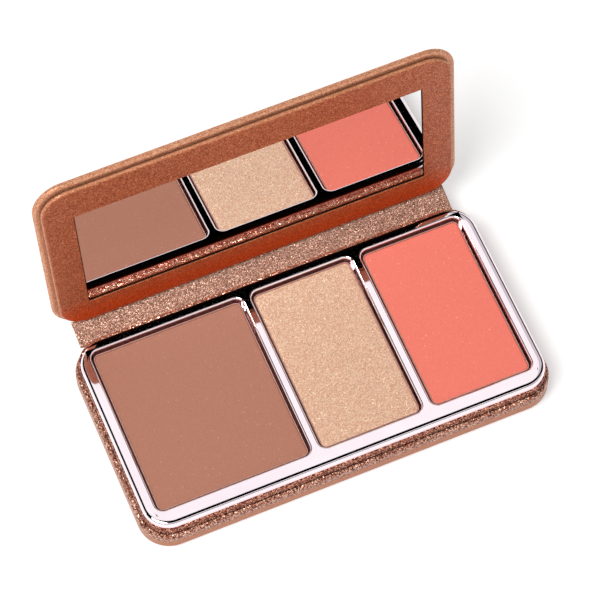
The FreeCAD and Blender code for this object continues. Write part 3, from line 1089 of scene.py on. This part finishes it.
@dataclass
class Cake:
    """Pressed powder: a block with soft edges, a slight pillow and a faint swell."""

    node: str
    slot: Slot
    outline: Outline
    finish: PressedPowder
    foot: float = 7.55
    top: float = 10.4
    edge_round: float = 0.3
    edge_steps: int = 9
    pillow_drop: float = 0.05
    pillow_width: float = 1.0
    pillow_steps: int = 9
    core_gap: float = 0.3
    core_reach: float = 1.6
    core_counts: Tuple[int, int] = (60, 80)
    swell: Swell = Swell(size=0.008)

    def profile(self) -> np.ndarray:
        """Draw the side, the soft edge and the pillow's slope.

        The side is straight, the edge is a circle, and the pillow climbs from it as a parabola to level.

        Returns:
            Rows of offset, height, and the normal's two parts.
        """
        lean = math.degrees(math.atan2(self.pillow_drop * 2, self.pillow_width))
        side = np.array([(0.0, self.foot, 1.0, 0.0)])
        edge_centre = (-self.edge_round, self.top - self.pillow_drop - self.edge_round)
        edge = arc_profile(edge_centre, self.edge_round, 0.0, 90.0 - lean, self.edge_steps)
        share = np.linspace(0.0, 1.0, self.pillow_steps)[1:]
        slope = np.radians(lean) * (1.0 - share)
        inward = edge[-1, 0] - self.pillow_width * share
        rise = edge[-1, 1] + (self.top - edge[-1, 1]) * (2 * share - share ** 2)
        pillow = np.stack((inward, rise, np.sin(slope), np.cos(slope)), axis=1)
        return np.vstack((side, edge, pillow))

    def build(self) -> None:
        """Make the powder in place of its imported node: the edge, a level band and the swelling core."""
        profile = self.profile()
        inset = -profile[-1, 0]
        core = self.outline.grown(-inset - self.core_gap)
        shoulder = self.outline.trace() - inset * self.outline.outward()
        surfaces = [swept(self.outline, profile),
                    level_ring(shoulder, core.sharp_trace(self.core_reach), self.top),
                    level_sheet(core.low(), core.high(), self.top, self.core_counts, self.swell)]
        piece = make_piece(f"{self.node}_pressed", surfaces, self.finish.make())
        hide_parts(self.node)
        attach(piece, Body.BASE.value)


@dataclass
class FoldStrip:
    """Stretch of skin that folds along a hinge line: two straight legs joined by a bend.

    Its points are seen from the side, as back and up, in millimetres.
    """

    node: str
    start: Pair
    corner: Pair
    end: Pair
    radius: float
    bodies: Tuple[Body, Body]
    bend_start: Pair
    bend_end: Pair
    thickness: float = 0.25
    half_width: float = 55.8
    leg_steps: int = 12
    bend_steps: int = 16
    width_steps: int = 40

    def path(self) -> Tuple[np.ndarray, np.ndarray]:
        """Draw the strip's middle line seen from the side.

        A leg runs straight to the bend; the bend turns on a circle that touches both legs; a leg runs on.

        Returns:
            The points and their normals, each as back and up.
        """
        start, corner, end = (np.array(point) for point in (self.start, self.corner, self.end))
        first = (corner - start) / np.linalg.norm(corner - start)
        second = (end - corner) / np.linalg.norm(end - corner)
        heading = math.atan2(first[1], first[0])
        turn = math.atan2(first[0] * second[1] - first[1] * second[0], first @ second)
        setback = self.radius * math.tan(abs(turn) / 2)
        headings = heading + turn * np.linspace(0.0, 1.0, self.bend_steps)
        side = math.copysign(1.0, turn)
        lefts = np.stack((-np.sin(headings), np.cos(headings)), axis=1)
        centre = corner - first * setback + side * self.radius * lefts[0]
        bend = centre - side * self.radius * lefts
        share = np.linspace(0.0, 1.0, self.leg_steps)[:, None]
        near = start + (bend[0] - start) * share
        far = bend[-1] + (end - bend[-1]) * share
        normals = np.vstack((np.repeat(lefts[:1], self.leg_steps - 1, axis=0), lefts,
                             np.repeat(lefts[-1:], self.leg_steps - 1, axis=0)))
        return np.vstack((near[:-1], bend, far[1:])), normals

    def patches(self) -> List[Patch]:
        """Carry the strip's thin section across its width and close its two ends.

        The section is the middle line moved half the thickness to either side, the same all across.

        Returns:
            The skin and its end faces.
        """
        line, left = self.path()
        above, below = line + left * self.thickness / 2, line - left * self.thickness / 2
        loop = np.vstack((above, below[::-1]))
        loop_normals = np.vstack((left, -left[::-1]))
        grid = (self.width_steps, len(loop))
        across = np.linspace(-self.half_width, self.half_width, self.width_steps)
        points = np.dstack((np.broadcast_to(across[:, None], grid), np.broadcast_to(loop, (*grid, 2))))
        normals = np.dstack((np.zeros(grid), np.broadcast_to(loop_normals, (*grid, 2))))
        surfaces = [Patch(points, normals)]
        section = np.stack((above, below))
        for sign in (-1.0, 1.0):
            side = np.full(section.shape[:2], sign * self.half_width)
            outward = np.zeros((*section.shape[:2], 3))
            outward[..., 0] = sign
            surfaces.append(Patch(np.dstack((side, section)), outward, closed=False))
        return surfaces

    def build(self, material: bpy.types.Material) -> None:
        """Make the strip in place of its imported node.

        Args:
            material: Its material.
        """
        piece = make_piece(f"{self.node}_skin", self.patches(), material)
        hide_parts(self.node)
        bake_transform(piece)


@dataclass
class Base:
    """Lower half: two wrapped tiers, the plated tray, three pans and their powders."""

    skin: GlitterSkin = GlitterSkin(
        name="base_skin",
        tones=SkinTones(linear(50, 18, 8), linear(158, 82, 54), linear(255, 208, 184)),
        low_tones=SkinTones(linear(172, 104, 66), linear(180, 111, 73), linear(188, 118, 80)),
        rise=(3.4 * MM, 4.2 * MM), flake=0.28 * MM, tilt=0.8, low_tilt=0.05, metal=0.6,
        roughness=(0.42, 0.26))
    tier_skin: TierSkin = TierSkin(
        name="tier_skin",
        tones=SkinTones(linear(40, 4, 0), linear(134, 44, 18), linear(255, 192, 160)),
        # Below the rise, the near-black low tones are painted shade in the groove between the tier and the
        # base.
        low_tones=SkinTones(linear(6, 2, 1), linear(16, 6, 4), linear(40, 18, 12)),
        rise=(7.0 * MM, 7.4 * MM), flake=0.29 * MM, tilt=0.8, low_tilt=0.55, metal=0.9,
        roughness=(0.3, 0.14))
    plating: RosePlating = RosePlating("rose_plating")
    tray: Tray = field(default_factory=Tray)
    pan_inset: float = 0.9
    pan: BrightMetal = BrightMetal(
        "dusted_pan", (linear(190, 142, 128), linear(222, 176, 162)), metal=0.4, roughness=(0.4, 0.55))
    bronzer: PressedPowder = PressedPowder(
        "bronzer_powder", linear(177, 117, 95), linear(183, 125, 103), linear(212, 166, 146))
    highlighter: PressedPowder = PressedPowder(
        "highlighter_powder", linear(222, 154, 120), linear(255, 224, 194), linear(255, 244, 226),
        speck=0.2 * MM, roughness=0.42, shimmer=0.3, tilt=0.6)
    blush: PressedPowder = PressedPowder(
        "blush_powder", linear(243, 121, 102), linear(250, 130, 112), linear(255, 190, 172), roughness=0.7)
    board: PlainStock = PlainStock("grey_board", BOARD_TONES)
    film: PlainStock = PlainStock("adhesive_film", FILM_TONES)
    steel: BrightMetal = BrightMetal("dull_steel", STEEL_TONES)

    def dress(self) -> None:
        """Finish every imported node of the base."""
        dress(self.skin.make(), "base_wrap")
        dress(self.tier_skin.make(), "tier_wrap")
        self.tray.build(self.plating)
        dress(self.pan.make(), "bronzer_pan", "highlighter_pan", "blush_pan")
        powders = (("bronzer_cake", Slot.BRONZER, self.bronzer),
                   ("highlighter_cake", Slot.HIGHLIGHTER, self.highlighter),
                   ("blush_cake", Slot.BLUSH, self.blush))
        for (node, slot, finish), well in zip(powders, self.tray.wells()):
            Cake(node, slot, well.grown(-self.pan_inset), finish).build()
        dress(self.board.make(), "base_core", "tier_board")
        dress(self.film.make(), "tray_tape", "bronzer_pad", "highlighter_pad", "blush_pad")
        dress(self.steel.make(), "left_magnet", "right_magnet")


@dataclass
class Spine:
    """Thin strip between base and lid, with the skin that folds on either side of it."""

    lining: GlitterSkin = GlitterSkin(
        name="spine_lining_skin",
        tones=SkinTones(linear(66, 36, 23), linear(182, 128, 104), linear(250, 212, 190)),
        low_tones=SkinTones(linear(62, 33, 21), linear(178, 123, 97), linear(246, 206, 182)),
        rise=(6.5 * MM, 8.5 * MM), flake=0.15 * MM, tilt=0.7, low_tilt=0.7, metal=0.45,
        roughness=(0.42, 0.3))
    cover: CoverSkin = CoverSkin(name="spine_cover_skin")
    board: PlainStock = PlainStock("spine_stock", BOARD_TONES)
    folds: Tuple[FoldStrip, ...] = (
        FoldStrip(node="base_fold", start=(31.975, 3.526), corner=(31.975, 6.126), end=(34.485, 6.806),
                  radius=0.7, bodies=(Body.BASE, Body.SPINE), bend_start=(31.975, 5.4), bend_end=(32.9, 6.5)),
        FoldStrip(node="lid_fold", start=(35.781, 7.158), corner=(40.800, 8.518), end=(41.389, 13.684),
                  radius=1.05, bodies=(Body.SPINE, Body.LID), bend_start=(39.6, 8.2), bend_end=(41.0, 9.8)),
    )

    def dress(self) -> None:
        """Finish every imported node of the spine."""
        cover = self.cover.make()
        dress(self.lining.make(), "spine_lining")
        dress(cover, "spine_cover")
        dress(self.board.make(), "spine_board")
        for fold in self.folds:
            fold.build(cover)


@dataclass
class Lid:
    """Upper half: the outer board, the mirror frame and the mirror."""

    skin: FrameSkin = FrameSkin(
        name="frame_skin",
        tones=SkinTones(linear(134, 56, 24), linear(178, 86, 44), linear(214, 132, 90)),
        # Below the rise, the low tones paint the orange light that the spine throws onto the frame's bottom.
        low_tones=SkinTones(linear(178, 50, 0), linear(212, 68, 0), linear(236, 98, 20)),
        rise=(13 * MM, 21 * MM), flake=0.24 * MM, tilt=0.4, low_tilt=0.3, metal=0.3,
        roughness=(0.5, 0.36))
    cover: CoverSkin = CoverSkin(name="lid_cover_skin")
    mirror: MirrorFace = MirrorFace("mirror_face")
    board: PlainStock = PlainStock("lid_stock", BOARD_TONES)
    film: PlainStock = PlainStock("lid_film", FILM_TONES)
    steel: BrightMetal = BrightMetal("strike_steel", STEEL_TONES)

    def dress(self) -> None:
        """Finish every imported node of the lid."""
        dress(self.skin.make(), "frame_wrap")
        dress(self.cover.make(), "lid_wrap")
        dress(self.mirror.make(), "mirror_glass")
        dress(self.board.make(), "lid_board", "frame_board")
        dress(self.film.make(), "lid_tape", "mirror_tape")
        dress(self.steel.make(), "left_strike_plate", "right_strike_plate")


@dataclass
class Studio:
    """Camera, pale floor, soft light, and flags overhead that only polished surfaces see.

    Places and sizes are in metres, and angles in degrees. A flag's span runs from front to back.
    """

    eye: Triple = (-0.1492, -0.3502, 0.7948)
    azimuth: float = -22.588
    elevation: float = 62.937
    roll: float = 0.326
    lens: float = 188.55
    sensor: float = 36.0
    clip_end: float = 20.0
    ambient: float = 0.45
    floor_half: float = 3.0
    floor_drop: float = 0.05 * MM
    floor_tone: float = 0.75
    floor_glow: float = 0.42
    key_power: float = 4.5
    key_size: float = 0.4
    key_place: Triple = (-0.36, -0.14, 0.75)
    key_aim: Triple = (0.0, 0.0, 0.02)
    flag_height: float = 1.0
    flag_tint: Colour = (1.0, 0.97, 0.99)
    flag_reach: float = 2.4
    front_flag_span: Pair = (-0.30, 0.30)
    low_flag_span: Pair = (-0.98, -0.60)
    left_flag_reach: float = 1.4
    light_span: Pair = (-0.12, 0.35)
    grey_width: float = 0.3
    grey_tone: float = 0.62

    def build(self) -> None:
        """Make every part of the studio."""
        self.camera()
        self.world()
        self.floor()
        self.key_light()
        self.flags()

    def camera(self) -> None:
        """Place the camera: its back axis from azimuth and elevation, then a small roll."""
        turn, lift, lean = (math.radians(angle) for angle in (self.azimuth, self.elevation, self.roll))
        back = Vector((math.sin(turn) * math.cos(lift), -math.cos(turn) * math.cos(lift), math.sin(lift)))
        level = Vector((math.cos(turn), math.sin(turn), 0.0))
        right = level * math.cos(lean) - back.cross(level) * math.sin(lean)
        data = bpy.data.cameras.new("photo_camera")
        data.lens = self.lens
        data.sensor_width = self.sensor
        data.clip_end = self.clip_end
        camera = bpy.data.objects.new("photo_camera", data)
        axes = Matrix((right, back.cross(right), back)).transposed().to_4x4()
        camera.matrix_world = Matrix.Translation(self.eye) @ axes
        bpy.context.scene.collection.objects.link(camera)
        bpy.context.scene.camera = camera

    def world(self) -> None:
        """Light everything softly from all round, and show white behind."""
        world = bpy.data.worlds.new("studio")
        world.use_nodes = True
        sheet = NodeTree(world.node_tree)
        soft, white = (sheet.add("ShaderNodeBackground") for _ in range(2))
        for light, strength in ((soft, self.ambient), (white, 1.0)):
            light.inputs["Color"].default_value = WHITE
            light.inputs["Strength"].default_value = strength
        mix = sheet.add("ShaderNodeMixShader")
        sheet.join(sheet.seen_rays(), mix.inputs["Fac"])
        sheet.join(soft.outputs[0], mix.inputs[1])
        sheet.join(white.outputs[0], mix.inputs[2])
        sheet.join(mix.outputs[0], sheet.add("ShaderNodeOutputWorld").inputs["Surface"])
        bpy.context.scene.world = world

    def plane(self, name: str, low: Pair, high: Pair, height: float) -> bpy.types.Object:
        """Make one level stage piece.

        Args:
            name: Name of the piece.
            low: Front left corner, in the plan.
            high: Back right corner, in the plan.
            height: Height of the piece.

        Returns:
            The new object.
        """
        plan = ((low[0], low[1]), (high[0], low[1]), (high[0], high[1]), (low[0], high[1]))
        mesh = bpy.data.meshes.new(name)
        mesh.from_pydata([(x, y, height) for x, y in plan], [], [(0, 1, 2, 3)])
        piece = bpy.data.objects.new(name, mesh)
        bpy.context.scene.collection.objects.link(piece)
        log.info("staged %s", name)
        return piece

    def floor(self) -> None:
        """Lay the pale floor, which shows white and keeps the palette's shadow."""
        reach = self.floor_half
        piece = self.plane("floor", (-reach, -reach), (reach, reach), -self.floor_drop)
        sheet = NodeSheet("pale_floor")
        sheet.set(Base_Color=(self.floor_tone,) * 3 + (1.0,), Roughness=1.0, Specular_IOR_Level=0.0)
        glow = sheet.add("ShaderNodeEmission")
        sheet.join(sheet.combine(Rule.TIMES, sheet.seen_rays(), self.floor_glow), glow.inputs["Strength"])
        both = sheet.add("ShaderNodeAddShader")
        sheet.join(sheet.shader.outputs["BSDF"], both.inputs[0])
        sheet.join(glow.outputs[0], both.inputs[1])
        sheet.join(both.outputs[0], sheet.output.inputs["Surface"])
        piece.data.materials.append(sheet.material)

    def key_light(self) -> None:
        """Hang one large soft lamp above the camera's side."""
        data = bpy.data.lights.new("soft_key", "AREA")
        data.shape = "DISK"
        data.size = self.key_size
        data.energy = self.key_power
        lamp = bpy.data.objects.new("soft_key", data)
        lamp.location = self.key_place
        aim = Vector(self.key_aim) - Vector(self.key_place)
        lamp.rotation_euler = aim.to_track_quat("-Z", "Y").to_euler()
        bpy.context.scene.collection.objects.link(lamp)

    def card(self, name: str, low: Pair, high: Pair, tone: float = 0.0) -> None:
        """Hang a level card that only polished surfaces see.

        Args:
            name: Name of the card.
            low: Front left corner, in the plan.
            high: Back right corner, in the plan.
            tone: Brightness of the card.
        """
        piece = self.plane(name, low, high, self.flag_height)
        sheet = NodeSheet(f"{name}_cloth")
        sheet.set(Base_Color=BLACK, Emission_Color=(*self.flag_tint, 1.0), Emission_Strength=tone,
                  Roughness=1.0, Specular_IOR_Level=0.0)
        piece.data.materials.append(sheet.material)
        piece.visible_camera = False
        piece.visible_diffuse = False
        piece.visible_shadow = False
        piece.visible_transmission = False

    def flags(self) -> None:
        """Hang flags over the camera's side and on both hands of the overhead light."""
        far = self.flag_reach
        front, back = self.front_flag_span
        low_front, low_back = self.low_flag_span
        left, right = self.light_span
        grey = right + self.grey_width
        self.card("front_flag", (-far, front), (far, back))
        self.card("low_flag", (-far, low_front), (far, low_back))
        self.card("left_flag", (-self.left_flag_reach, back), (left, far))
        self.card("grey_flag", (right, back), (grey, far), self.grey_tone)
        self.card("right_flag", (grey, back), (far, far))


def main() -> None:
    """Build the studio and the palette."""
    logging.basicConfig(level=logging.INFO, format="%(name)s: %(message)s")
    bpy.context.scene.view_settings.view_transform = "Standard"
    Studio().build()
    for assembly in (Base(), Spine(), Lid()):
        assembly.dress()


if __name__ == "__main__":
    main()
